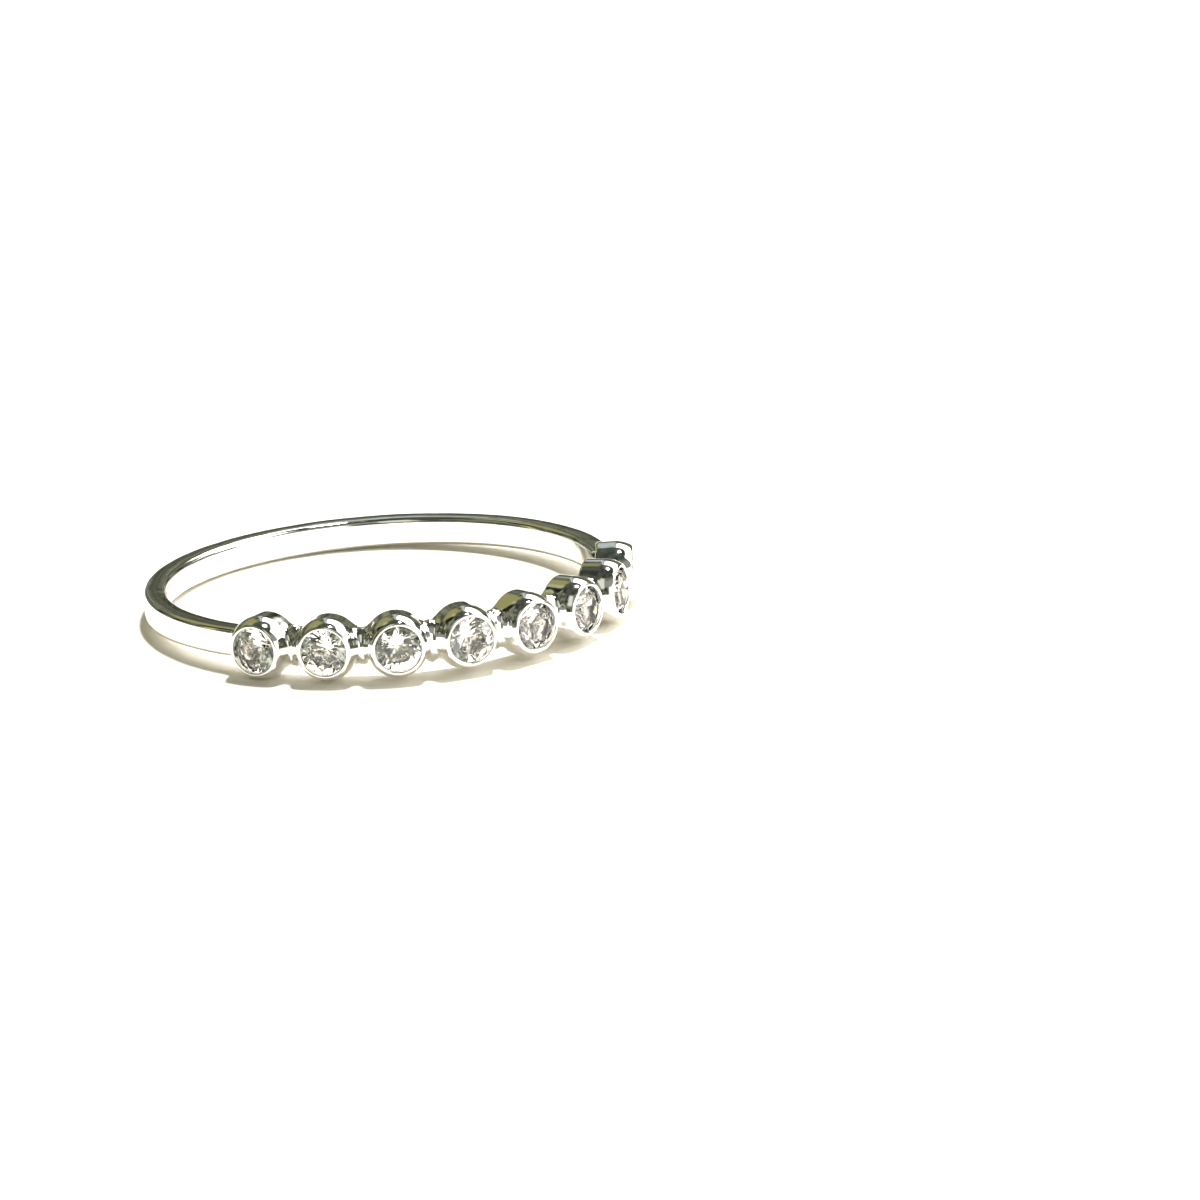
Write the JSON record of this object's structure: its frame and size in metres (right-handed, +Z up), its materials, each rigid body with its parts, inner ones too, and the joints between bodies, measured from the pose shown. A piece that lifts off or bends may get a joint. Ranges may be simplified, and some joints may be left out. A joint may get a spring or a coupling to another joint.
{
  "type": "topaz ring",
  "caption": "Silver half-eternity finger ring: a plain round band with a row of round bezel-set brilliant-cut white topazes on its outside.",
  "frame": {"origin": "middle of the footprint of the ring's bounding box, on the surface that the ring lies on", "axes": "+Z up, the way the finger hole runs as the ring lies on its side; -Y towards the middle of the row of stones; +X along the row, to the right when the stones face the viewer"},
  "size_m": [0.0188, 0.0196, 0.0027],
  "materials": {
    "silver": "polished sterling silver with fine wear scratches",
    "topaz": "clear, polished facets"
  },
  "bodies": {
    "root": {"band_and_bezels": "silver", "stone_1": "topaz", "stone_2": "topaz", "stone_3": "topaz", "stone_4": "topaz", "stone_5": "topaz", "stone_6": "topaz", "stone_7": "topaz", "stone_8": "topaz"}
  },
  "joints": []
}
